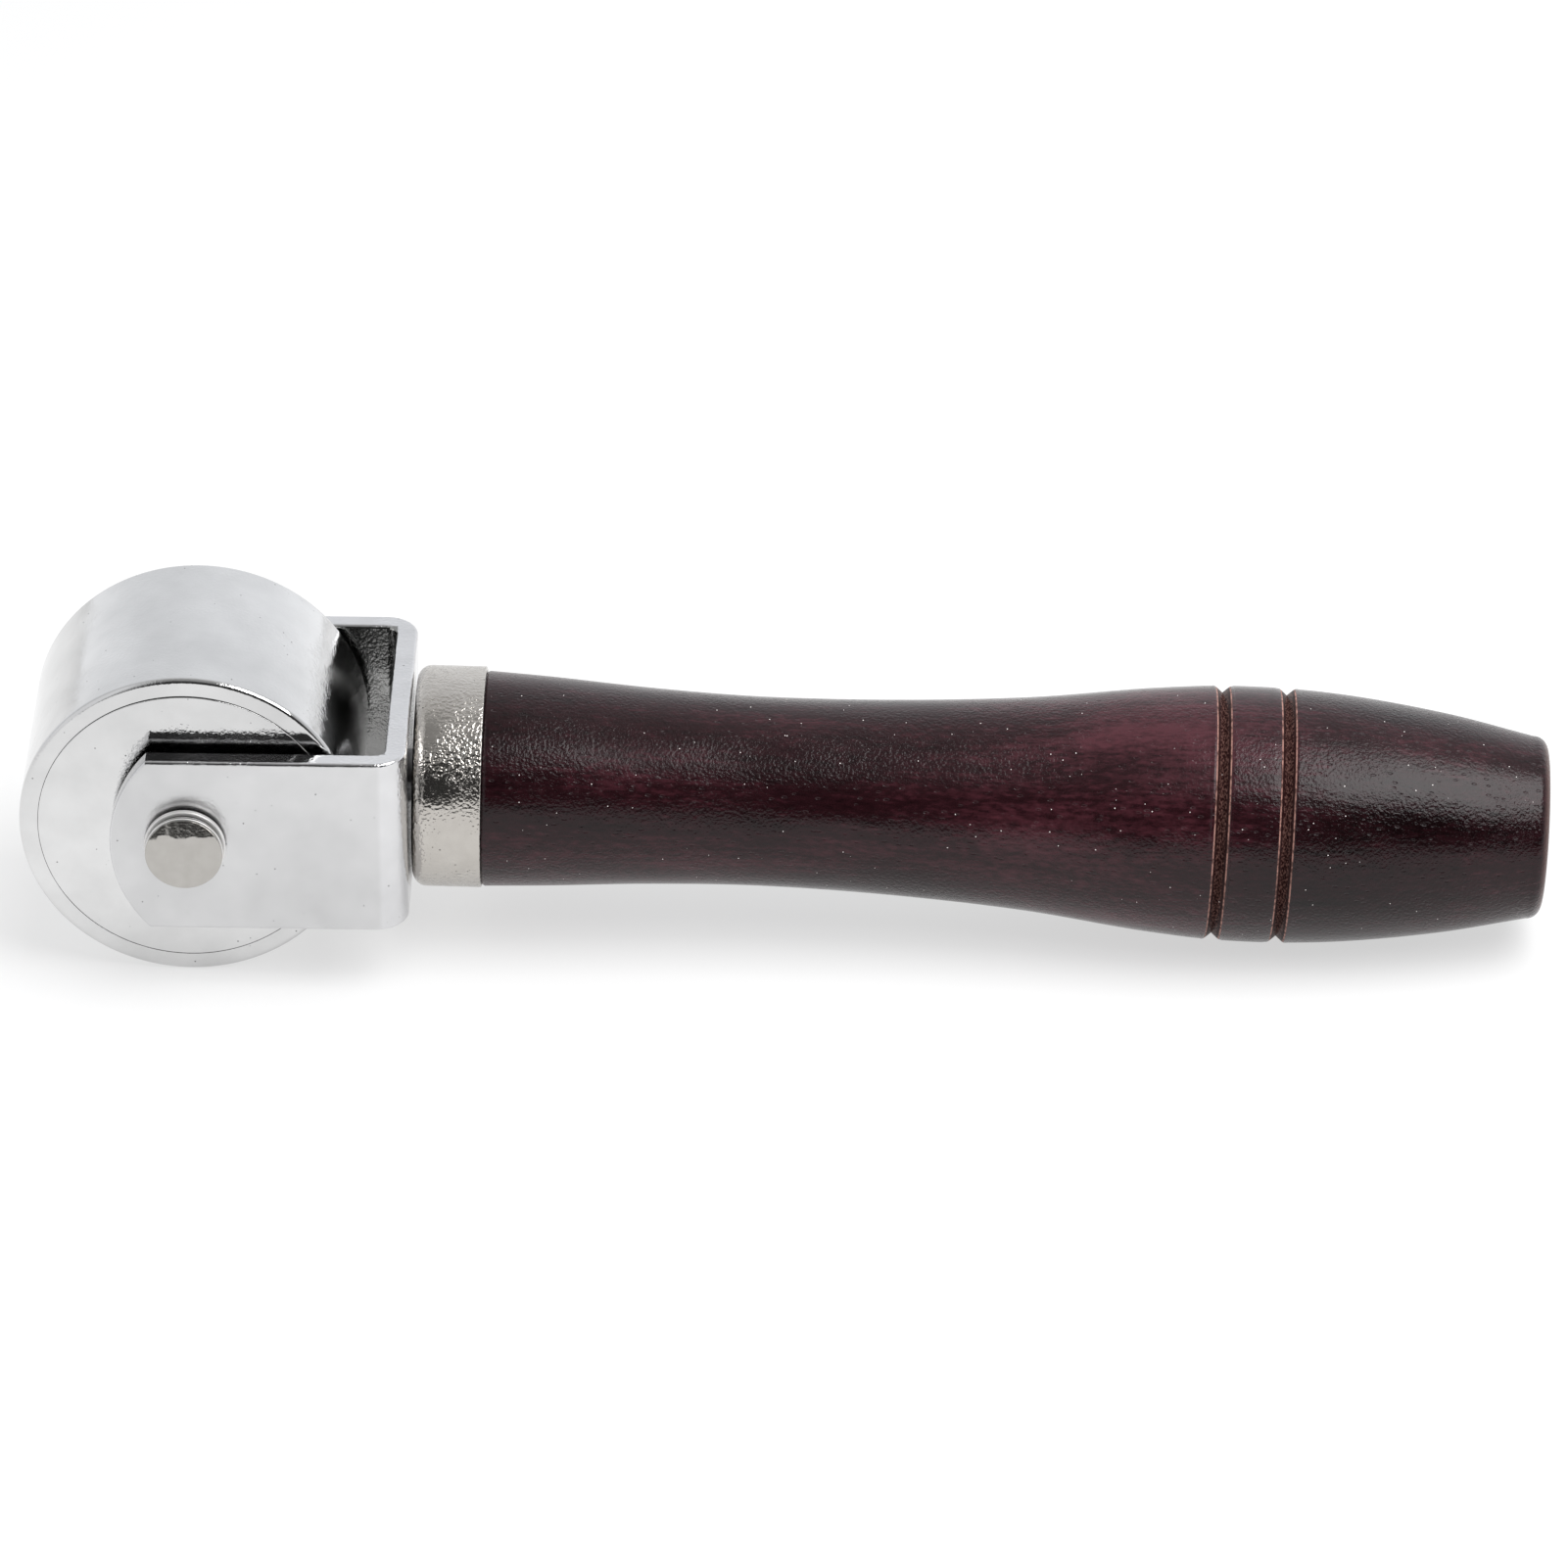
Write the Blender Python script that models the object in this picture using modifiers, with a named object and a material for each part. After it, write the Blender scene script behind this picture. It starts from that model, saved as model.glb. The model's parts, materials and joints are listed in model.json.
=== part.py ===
"""Hand pressing roller: a chromed roller on two ball bearings, in a U-shaped fork with a wooden handle.

The tool lies on a table, which it touches with the roller and with the bulge of the handle.
+X runs from the roller to the butt of the handle, +Y across the tool and +Z up.
The origin is on the table, under the middle of the bounding box.
"""

import math

import bmesh
import bpy
from mathutils import Vector

MM = 0.001
WELD = 0.00001

# Roller
ROLLER_RADIUS = 18.0 * MM
ROLLER_WIDTH = 25.0 * MM
TUBE_WALL = 2.0 * MM
TUBE_CHAMFER = 0.5 * MM
CAP_SEAM = 0.1 * MM
CAP_THICKNESS = 6.5 * MM
CAP_BORE_RADIUS = 7.0 * MM

# Ball bearings, 8 x 16 x 5
BEARING_BORE_RADIUS = 4.0 * MM
BEARING_RADIUS = 8.0 * MM
BEARING_WIDTH = 5.0 * MM
BEARING_RECESS = 0.15 * MM
BALL_RADIUS = 1.19 * MM
BALL_COUNT = 9
RACE_CLEARANCE = 0.06 * MM
RACE_SHOULDER_GAP = 0.85 * MM
CAGE_HALF_WIDTH = 1.75 * MM
CAGE_HALF_THICKNESS = 0.5 * MM
CAGE_POCKET_RADIUS = 1.3 * MM
SHIELD_THICKNESS = 0.2 * MM
SHIELD_INSET = 0.1 * MM

# Fork, bent from one strip
STRIP_THICKNESS = 2.3 * MM
STRIP_WIDTH = 20.6 * MM
FORK_SIDE_GAP = 1.1 * MM
FORK_REACH = 23.5 * MM
FORK_BEND_RADIUS = 1.2 * MM
FORK_DROP = 0.45 * MM
FORK_TIP_RADIUS = 15.1 * MM
FORK_TIP_AHEAD = 8.1 * MM

# Axle pin
PIN_RADIUS = 4.0 * MM
PIN_HEAD_RADIUS = 4.35 * MM
PIN_END_RADIUS = 4.15 * MM
PIN_HEAD_HEIGHT = 1.0 * MM
PIN_PROTRUSION = 2.65 * MM
PIN_CHAMFER = 0.3 * MM

# Handle group, along its own axis from the back of the fork. The ferrule is a little less out of square
HANDLE_DROOP = math.radians(2.18)
HANDLE_DROP = 0.72 * MM
FERRULE_DROOP = math.radians(0.9)
FERRULE_START = 0.24 * MM
FERRULE_END = 7.65 * MM
FERRULE_RADIUS = 11.9 * MM
FERRULE_WALL = 0.5 * MM
FERRULE_CORNER = 1.5 * MM
TENON_CLEARANCE = 0.3 * MM
TENON_CHAMFER = 1.5 * MM
HANDLE_END = 121.8 * MM
HANDLE_END_ROUNDING = 1.5 * MM
HANDLE_SHAPE = [
    (8.0 * MM, 11.6 * MM),
    (15.0 * MM, 11.25 * MM),
    (26.0 * MM, 10.55 * MM),
    (38.0 * MM, 10.2 * MM),
    (52.0 * MM, 10.55 * MM),
    (66.0 * MM, 11.5 * MM),
    (79.0 * MM, 13.1 * MM),
    (88.5 * MM, 13.75 * MM),
    (99.0 * MM, 13.4 * MM),
    (110.5 * MM, 11.9 * MM),
    (120.3 * MM, 9.85 * MM),
]
GROOVES = [86.55 * MM, 93.5 * MM]
GROOVE_HALF_WIDTH = 0.85 * MM
GROOVE_DEPTH = 0.75 * MM
SCREW_RADIUS = 2.8 * MM
SCREW_LENGTH = 48.0 * MM
SCREW_TIP_LENGTH = 5.0 * MM
SCREW_TIP_RADIUS = 0.55 * MM
SCREW_HEAD_RADIUS = 4.6 * MM
SCREW_HEAD_RECESS = 0.15 * MM
SCREW_SLOT_WIDTH = 1.2 * MM
SCREW_SLOT_DEPTH = 0.9 * MM

# Gaps between pieces that are fixed together
PRESS_GAP = 0.05 * MM
SEAT_GAP = 0.3 * MM

# Facets round a full turn
ROLLER_STEPS = 48
BEARING_STEPS = 36
PIN_STEPS = 36
SMALL_STEPS = 24
HANDLE_STEPS = 36
POCKET_STEPS = 12

# Segments in each arc, and in each span of the handle's curve
RACE_SEGMENTS = 4
FORK_BEND_SEGMENTS = 6
FORK_TIP_SEGMENTS = 12
FERRULE_CORNER_SEGMENTS = 5
BUTT_SEGMENTS = 3
HANDLE_SPAN_SEGMENTS = 2

SHARP_ANGLE = math.radians(30)

# Worked out from the dimensions above
HALF_WIDTH = ROLLER_WIDTH / 2
CAP_RADIUS = ROLLER_RADIUS - TUBE_WALL - CAP_SEAM
PITCH_RADIUS = (BEARING_BORE_RADIUS + BEARING_RADIUS) / 2
BEARING_CENTRE = HALF_WIDTH - BEARING_RECESS - BEARING_WIDTH / 2
FORK_HALF_WIDTH = HALF_WIDTH + FORK_SIDE_GAP + STRIP_THICKNESS
FORK_INNER_REACH = FORK_REACH - STRIP_THICKNESS
TENON_RADIUS = FERRULE_RADIUS - FERRULE_WALL - TENON_CLEARANCE
TENON_START = FERRULE_START + FERRULE_WALL + TENON_CLEARANCE
SHOULDER = FERRULE_END + SEAT_GAP
SCREW_HEAD_TOP = SCREW_HEAD_RECESS - STRIP_THICKNESS
BUTT_FACE_RADIUS = HANDLE_SHAPE[-1][1] - HANDLE_END_ROUNDING
BUTT_REACH = (
    (HANDLE_END - HANDLE_END_ROUNDING) * math.cos(HANDLE_DROOP)
    + BUTT_FACE_RADIUS * math.sin(HANDLE_DROOP)
    + HANDLE_END_ROUNDING
)
ROLLER_X = -(ROLLER_RADIUS + FORK_REACH + BUTT_REACH) / 2 + ROLLER_RADIUS

# Colour, metallic, roughness
FINISHES = {
    "chrome_roller": ((0.80, 0.82, 0.85), 1.0, 0.16),
    "chrome_fork": ((0.82, 0.83, 0.85), 1.0, 0.12),
    "nickel_pin": ((0.66, 0.63, 0.59), 1.0, 0.28),
    "bearing_steel": ((0.62, 0.63, 0.64), 1.0, 0.22),
    "washer_steel": ((0.58, 0.58, 0.58), 1.0, 0.35),
    "screw_steel": ((0.55, 0.55, 0.56), 1.0, 0.35),
    "nickel_ferrule": ((0.68, 0.65, 0.61), 1.0, 0.25),
    "stained_wood": ((0.065, 0.016, 0.014), 0.0, 0.32),
}


def clear_scene():
    for item in list(bpy.data.objects):
        bpy.data.objects.remove(item)


def new_collection(name):
    collection = bpy.data.collections.new(name)
    bpy.context.scene.collection.children.link(collection)
    return collection


def new_material(name, finish):
    color, metallic, roughness = FINISHES[finish]
    material = bpy.data.materials.new(name)
    material.use_nodes = True
    shader = material.node_tree.nodes["Principled BSDF"]
    shader.inputs["Base Color"].default_value = (*color, 1.0)
    shader.inputs["Metallic"].default_value = metallic
    shader.inputs["Roughness"].default_value = roughness
    return material


def new_empty(name, collection, location, rotation):
    empty = bpy.data.objects.new(name, None)
    empty.empty_display_size = 10 * MM
    empty.location = location
    empty.rotation_euler = rotation
    collection.objects.link(empty)
    return empty


def new_object(name, mesh, collection, parent, finish=None, location=(0, 0, 0)):
    item = bpy.data.objects.new(name, mesh)
    item.location = location
    item.parent = parent
    collection.objects.link(item)
    if finish:
        mesh.materials.append(new_material(name, finish))
        mesh.shade_smooth()
        mesh.set_sharp_from_angle(angle=SHARP_ANGLE)
    return item


def profile_mesh(name, points, closed):
    """A turned piece's outline in the XZ plane, which runs down its outer side."""
    mesh = bpy.data.meshes.new(name)
    count = len(points)
    edges = [(i, (i + 1) % count) for i in range(count if closed else count - 1)]
    mesh.from_pydata([(radius, 0, height) for radius, height in points], edges, [])
    return mesh


def turned(name, points, steps, collection, parent, finish, location=(0, 0, 0), closed=True):
    """A piece turned about its own Z from (radius, height) points, listed down its outer side."""
    item = new_object(name, profile_mesh(name, points, closed), collection, parent, None, location)
    screw = item.modifiers.new("turn", "SCREW")
    screw.axis = "Z"
    screw.steps = steps
    screw.render_steps = steps
    screw.use_merge_vertices = True
    screw.merge_threshold = WELD
    screw.use_smooth_shade = True
    item.data.materials.append(new_material(name, finish))
    return item


def ring_points(inner, outer, bottom, top):
    return [(outer, top), (outer, bottom), (inner, bottom), (inner, top)]


def arc(centre, radius, start, end, segments):
    """Points on an arc round a (radius, height) centre, its angles in degrees from the +radius direction."""
    angles = [math.radians(start + (end - start) * i / segments) for i in range(segments + 1)]
    return [(centre[0] + radius * math.cos(a), centre[1] + radius * math.sin(a)) for a in angles]


def smooth_curve(points, per_span):
    """Points on a Catmull-Rom curve through the given ones."""
    knots = [Vector(point) for point in points]
    knots = [2 * knots[0] - knots[1]] + knots + [2 * knots[-1] - knots[-2]]
    curve = []
    for before, start, end, after in zip(knots, knots[1:], knots[2:], knots[3:]):
        for step in range(per_span):
            t = step / per_span
            bend = 2 * before - 5 * start + 4 * end - after
            twist = 3 * start - before - 3 * end + after
            curve.append(start + 0.5 * (t * (end - before) + t * t * bend + t**3 * twist))
    curve.append(knots[-2])
    return [tuple(point) for point in curve]


def cut(item, cutter, operation="DIFFERENCE"):
    boolean = item.modifiers.new(f"{operation.lower()}_{cutter.name}", "BOOLEAN")
    boolean.operation = operation
    boolean.solver = "EXACT"
    boolean.object = cutter


def as_cutter(item):
    item.hide_render = True
    item.display_type = "WIRE"
    return item


def round_cutter(name, radii, length, steps, collection, parent, location, rotation=(0, 0, 0)):
    """A cylinder or cone with the given radii at its low and high end."""
    shape = bmesh.new()
    bmesh.ops.create_cone(
        shape, cap_ends=True, segments=steps, radius1=radii[0], radius2=radii[1], depth=length
    )
    mesh = bpy.data.meshes.new(name)
    shape.to_mesh(mesh)
    shape.free()
    item = new_object(name, mesh, collection, parent, None, location)
    item.rotation_euler = rotation
    return as_cutter(item)


def extruded_outline(name, points, thickness):
    """A flat outline in the XY plane, made a solid of the given thickness about that plane."""
    curve = bpy.data.curves.new(name, "CURVE")
    curve.dimensions = "2D"
    curve.fill_mode = "BOTH"
    curve.extrude = thickness / 2
    spline = curve.splines.new("POLY")
    spline.points.add(len(points) - 1)
    for point, (x, y) in zip(spline.points, points):
        point.co = (x, y, 0, 1)
    spline.use_cyclic_u = True
    guide = bpy.data.objects.new(name, curve)
    bpy.context.scene.collection.objects.link(guide)
    bpy.context.view_layer.update()
    evaluated = guide.evaluated_get(bpy.context.evaluated_depsgraph_get())
    mesh = bpy.data.meshes.new_from_object(evaluated)
    bpy.data.objects.remove(guide)
    shape = bmesh.new()
    shape.from_mesh(mesh)
    bmesh.ops.remove_doubles(shape, verts=shape.verts, dist=WELD)
    shape.to_mesh(mesh)
    shape.free()
    mesh.name = name
    return mesh


def make_roller(parts, axis):
    c = TUBE_CHAMFER
    inner = ROLLER_RADIUS - TUBE_WALL
    tube = [
        (ROLLER_RADIUS - c, HALF_WIDTH),
        (ROLLER_RADIUS, HALF_WIDTH - c),
        (ROLLER_RADIUS, c - HALF_WIDTH),
        (ROLLER_RADIUS - c, -HALF_WIDTH),
        (inner, -HALF_WIDTH),
        (inner, HALF_WIDTH),
    ]
    turned("roller_tube", tube, ROLLER_STEPS, parts, axis, "chrome_roller")
    pocket = BEARING_RADIUS + PRESS_GAP
    floor = HALF_WIDTH - BEARING_RECESS - BEARING_WIDTH - PRESS_GAP
    cap = [
        (CAP_RADIUS, HALF_WIDTH),
        (CAP_RADIUS, HALF_WIDTH - CAP_THICKNESS),
        (CAP_BORE_RADIUS, HALF_WIDTH - CAP_THICKNESS),
        (CAP_BORE_RADIUS, floor),
        (pocket, floor),
        (pocket, HALF_WIDTH),
    ]
    turned("roller_cap_rear", cap, ROLLER_STEPS, parts, axis, "chrome_roller")
    turned("roller_cap_front", mirrored(cap), ROLLER_STEPS, parts, axis, "chrome_roller")


def mirrored(points):
    """The same outline on the other side of the middle plane, still listed down its outer side."""
    return [(radius, -height) for radius, height in reversed(points)]


def race_outlines():
    """The outer and inner race's outlines, each with a groove that follows the balls."""
    half = BEARING_WIDTH / 2
    groove = BALL_RADIUS + RACE_CLEARANCE
    spread = math.degrees(math.acos(RACE_SHOULDER_GAP / groove))
    centre = (PITCH_RADIUS, 0)
    outer = [(BEARING_RADIUS, half), (BEARING_RADIUS, -half), (PITCH_RADIUS + RACE_SHOULDER_GAP, -half)]
    outer += arc(centre, groove, -spread, spread, RACE_SEGMENTS)
    outer += [(PITCH_RADIUS + RACE_SHOULDER_GAP, half)]
    bore = BEARING_BORE_RADIUS + PRESS_GAP
    inner = [(PITCH_RADIUS - RACE_SHOULDER_GAP, half)]
    inner += arc(centre, groove, 180 - spread, 180 + spread, RACE_SEGMENTS)
    inner += [(PITCH_RADIUS - RACE_SHOULDER_GAP, -half), (bore, -half), (bore, half)]
    return outer, inner


def make_cage(side, centre, parts, cutters, axis):
    ring = ring_points(
        PITCH_RADIUS - CAGE_HALF_THICKNESS,
        PITCH_RADIUS + CAGE_HALF_THICKNESS,
        -CAGE_HALF_WIDTH,
        CAGE_HALF_WIDTH,
    )
    place = (0, 0, centre)
    cage = turned(f"bearing_cage_{side}", ring, BEARING_STEPS, parts, axis, "bearing_steel", place)
    for number in range(BALL_COUNT):
        angle = 2 * math.pi * number / BALL_COUNT
        spot = (PITCH_RADIUS * math.cos(angle), PITCH_RADIUS * math.sin(angle), centre)
        name = f"cage_pocket_{side}_{number + 1}"
        turn = (0, math.pi / 2, angle)
        radii = (CAGE_POCKET_RADIUS, CAGE_POCKET_RADIUS)
        pocket = round_cutter(name, radii, BALL_RADIUS * 2, POCKET_STEPS, cutters, axis, spot, turn)
        cut(cage, pocket)
        make_ball(f"bearing_ball_{side}_{number + 1}", spot, parts, axis)


def make_ball(name, location, parts, axis):
    shape = bmesh.new()
    bmesh.ops.create_icosphere(shape, subdivisions=2, radius=BALL_RADIUS)
    mesh = bpy.data.meshes.new(name)
    shape.to_mesh(mesh)
    shape.free()
    new_object(name, mesh, parts, axis, "bearing_steel", location)


def make_bearing(side, sign, parts, cutters, axis):
    centre = sign * BEARING_CENTRE
    place = (0, 0, centre)
    outer, inner = race_outlines()
    turned(f"bearing_outer_race_{side}", outer, BEARING_STEPS, parts, axis, "bearing_steel", place)
    turned(f"bearing_inner_race_{side}", inner, BEARING_STEPS, parts, axis, "bearing_steel", place)
    make_cage(side, centre, parts, cutters, axis)
    shield_inner = PITCH_RADIUS - RACE_SHOULDER_GAP + 2 * PRESS_GAP
    shield_outer = PITCH_RADIUS + RACE_SHOULDER_GAP - PRESS_GAP
    top = BEARING_WIDTH / 2 - SHIELD_INSET
    for face, facing in (("outboard", sign), ("inboard", -sign)):
        middle = centre + facing * (top - SHIELD_THICKNESS / 2)
        shield = ring_points(shield_inner, shield_outer, -SHIELD_THICKNESS / 2, SHIELD_THICKNESS / 2)
        name = f"bearing_shield_{side}_{face}"
        turned(name, shield, SMALL_STEPS, parts, axis, "bearing_steel", (0, 0, middle))


def make_washer(side, sign, parts, axis):
    race_face = HALF_WIDTH - BEARING_RECESS
    plate_face = HALF_WIDTH + FORK_SIDE_GAP
    thickness = plate_face - race_face - 2 * PRESS_GAP
    washer = ring_points(
        PIN_RADIUS + 2 * PRESS_GAP,
        PITCH_RADIUS - RACE_SHOULDER_GAP - PRESS_GAP,
        -thickness / 2,
        thickness / 2,
    )
    place = (0, 0, sign * (race_face + plate_face) / 2)
    turned(f"spacer_washer_{side}", washer, SMALL_STEPS, parts, axis, "washer_steel", place)


def make_pin(parts, axis):
    """A plain shank with a peened head outside each side of the fork."""
    face = FORK_HALF_WIDTH + PRESS_GAP
    head_top = FORK_HALF_WIDTH + PIN_HEAD_HEIGHT
    end = FORK_HALF_WIDTH + PIN_PROTRUSION
    upper = [
        (0, end),
        (PIN_END_RADIUS - PIN_CHAMFER, end),
        (PIN_END_RADIUS, end - PIN_CHAMFER),
        (PIN_END_RADIUS, head_top),
        (PIN_HEAD_RADIUS, head_top),
        (PIN_HEAD_RADIUS, face),
        (PIN_RADIUS, face),
    ]
    outline = upper + mirrored(upper)
    turned("axle_pin", outline, PIN_STEPS, parts, axis, "nickel_pin", closed=False)


def fork_plan():
    """The U of the fork seen from above, from the roller's centre: outer side, then inner side."""
    outer_bend = FORK_BEND_RADIUS + STRIP_THICKNESS
    open_end = -FORK_TIP_AHEAD - STRIP_THICKNESS
    points = []
    for half_width, reach, bend in (
        (FORK_HALF_WIDTH, FORK_REACH, outer_bend),
        (FORK_HALF_WIDTH - STRIP_THICKNESS, FORK_INNER_REACH, FORK_BEND_RADIUS),
    ):
        side = [(open_end, -half_width)]
        side += arc((reach - bend, bend - half_width), bend, -90, 0, FORK_BEND_SEGMENTS)
        side += arc((reach - bend, half_width - bend), bend, 0, 90, FORK_BEND_SEGMENTS)
        side += [(open_end, half_width)]
        points += side if half_width == FORK_HALF_WIDTH else reversed(side)
    return points


def fork_side():
    """The rounded tip and the straight edges of the strip seen from the side."""
    half = STRIP_WIDTH / 2
    centre = (FORK_TIP_RADIUS - FORK_TIP_AHEAD, 0)
    spread = math.degrees(math.asin(half / FORK_TIP_RADIUS))
    back = FORK_REACH + STRIP_THICKNESS
    tip = arc(centre, FORK_TIP_RADIUS, 180 - spread, 180 + spread, FORK_TIP_SEGMENTS)
    return tip + [(back, -half), (back, half)]


def make_fork(parts, cutters, axis, handle_axis):
    plan = extruded_outline("fork", fork_plan(), STRIP_WIDTH + 2 * STRIP_THICKNESS)
    fork = new_object("fork", plan, parts, axis, "chrome_fork", (0, FORK_DROP, 0))
    fork.rotation_euler = (math.pi / 2, 0, 0)
    side = extruded_outline("fork_side", fork_side(), 3 * FORK_HALF_WIDTH)
    side_cutter = as_cutter(new_object("fork_side", side, cutters, axis, None, (0, FORK_DROP, 0)))
    cut(fork, side_cutter, "INTERSECT")
    hole = (PIN_RADIUS + PRESS_GAP, PIN_RADIUS + PRESS_GAP)
    length = 3 * FORK_HALF_WIDTH
    cut(fork, round_cutter("pin_hole", hole, length, PIN_STEPS, cutters, axis, (0, 0, 0)))
    make_screw_hole(fork, cutters, handle_axis)


def make_screw_hole(fork, cutters, handle_axis):
    """A clearance hole with a 90 degree countersink, which follows the screw's head at the seat gap."""
    clearance = SCREW_RADIUS + SEAT_GAP
    hole = (clearance, clearance)
    length = 3 * STRIP_THICKNESS
    cut(fork, round_cutter("screw_hole", hole, length, SMALL_STEPS, cutters, handle_axis, (0, 0, 0)))
    top_radius = SCREW_HEAD_RADIUS + SEAT_GAP * math.sqrt(2)
    end = SCREW_HEAD_TOP + top_radius - clearance
    start = -1.5 * STRIP_THICKNESS
    cone = (clearance + end - start, clearance)
    middle = (0, 0, (start + end) / 2)
    cut(fork, round_cutter("countersink", cone, end - start, SMALL_STEPS, cutters, handle_axis, middle))


def make_screw(parts, cutters, handle_axis):
    """Its countersunk head lies in the fork, and its shank runs through the ferrule into the wood."""
    outline = [
        (0, SCREW_LENGTH),
        (SCREW_TIP_RADIUS, SCREW_LENGTH),
        (SCREW_RADIUS, SCREW_LENGTH - SCREW_TIP_LENGTH),
        (SCREW_RADIUS, SCREW_HEAD_TOP + SCREW_HEAD_RADIUS - SCREW_RADIUS),
        (SCREW_HEAD_RADIUS, SCREW_HEAD_TOP),
        (0, SCREW_HEAD_TOP),
    ]
    screw = turned("handle_screw", outline, SMALL_STEPS, parts, handle_axis, "screw_steel", closed=False)
    shape = bmesh.new()
    bmesh.ops.create_cube(shape, size=1.0)
    size = Vector((3 * SCREW_HEAD_RADIUS, SCREW_SLOT_WIDTH, 2 * SCREW_SLOT_DEPTH))
    bmesh.ops.scale(shape, vec=size, verts=shape.verts)
    mesh = bpy.data.meshes.new("screw_slot")
    shape.to_mesh(mesh)
    shape.free()
    place = (0, 0, SCREW_HEAD_TOP)
    cut(screw, as_cutter(new_object("screw_slot", mesh, cutters, handle_axis, None, place)))


def make_ferrule(parts, ferrule_axis):
    """A drawn cup over the handle's front end, with a hole for the screw."""
    inner = FERRULE_RADIUS - FERRULE_WALL
    corner = FERRULE_CORNER
    hole = SCREW_RADIUS + SEAT_GAP
    outline = [(FERRULE_RADIUS, FERRULE_END)]
    centre = (FERRULE_RADIUS - corner, FERRULE_START + corner)
    outline += arc(centre, corner, 0, -90, FERRULE_CORNER_SEGMENTS)
    outline += [(hole, FERRULE_START), (hole, FERRULE_START + FERRULE_WALL)]
    outline += arc(centre, corner - FERRULE_WALL, -90, 0, FERRULE_CORNER_SEGMENTS)
    outline += [(inner, FERRULE_END)]
    turned("ferrule", outline, HANDLE_STEPS, parts, ferrule_axis, "nickel_ferrule")


def with_grooves(curve):
    """The handle's curve with a V cut in it at each groove."""
    clear = 2 * GROOVE_HALF_WIDTH
    points = [p for p in curve if all(abs(p[0] - g) > clear for g in GROOVES)]
    for groove in GROOVES:
        near = min(curve, key=lambda p: abs(p[0] - groove))[1]
        for offset, depth in ((-1, 0), (0, GROOVE_DEPTH), (1, 0)):
            points.append((groove + offset * GROOVE_HALF_WIDTH, near - depth))
    return sorted(points)


def make_handle(parts, handle_axis):
    """The turned wood, with a tenon inside the ferrule and a blind bore for the screw."""
    bore = SCREW_RADIUS + SEAT_GAP
    end_centre = (BUTT_FACE_RADIUS, HANDLE_END - HANDLE_END_ROUNDING)
    grip = with_grooves(smooth_curve(HANDLE_SHAPE, HANDLE_SPAN_SEGMENTS))
    outline = [(0, HANDLE_END)]
    outline += arc(end_centre, HANDLE_END_ROUNDING, 90, 0, BUTT_SEGMENTS)
    outline += [(radius, along) for along, radius in reversed(grip[:-1])]
    outline += [
        (TENON_RADIUS, SHOULDER),
        (TENON_RADIUS, TENON_START + TENON_CHAMFER),
        (TENON_RADIUS - TENON_CHAMFER, TENON_START),
        (bore, TENON_START),
        (bore, SCREW_LENGTH + SEAT_GAP),
        (0, SCREW_LENGTH + SEAT_GAP),
    ]
    turned("wooden_handle", outline, HANDLE_STEPS, parts, handle_axis, "stained_wood", closed=False)


def main():
    clear_scene()
    parts = new_collection("pressing_roller")
    cutters = new_collection("cutters")
    roller_centre = (ROLLER_X, 0, ROLLER_RADIUS)
    roller_axis = new_empty("roller_axis", parts, roller_centre, (-math.pi / 2, 0, 0))
    fork_back = (ROLLER_X + FORK_REACH, 0, ROLLER_RADIUS - HANDLE_DROP)
    handle_axis = new_empty("handle_axis", parts, fork_back, (0, math.pi / 2 + HANDLE_DROOP, 0))
    ferrule_axis = new_empty("ferrule_axis", parts, fork_back, (0, math.pi / 2 + FERRULE_DROOP, 0))
    make_roller(parts, roller_axis)
    make_pin(parts, roller_axis)
    for side, sign in (("front", -1), ("rear", 1)):
        make_bearing(side, sign, parts, cutters, roller_axis)
        make_washer(side, sign, parts, roller_axis)
    make_fork(parts, cutters, roller_axis, handle_axis)
    make_screw(parts, cutters, handle_axis)
    make_ferrule(parts, ferrule_axis)
    make_handle(parts, handle_axis)
    bpy.context.view_layer.update()


main()
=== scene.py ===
"""Looks of the hand pressing roller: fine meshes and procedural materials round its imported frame.

Lengths are in metres, in the frame's own axes: +X to the butt of the handle, +Y across the tool, +Z up.
Each piece's place is in its mesh and its object stays at the origin, as with the frame's own nodes.
"""

import json
import math

import bmesh
import bpy
from mathutils import Matrix, Vector, noise


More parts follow.
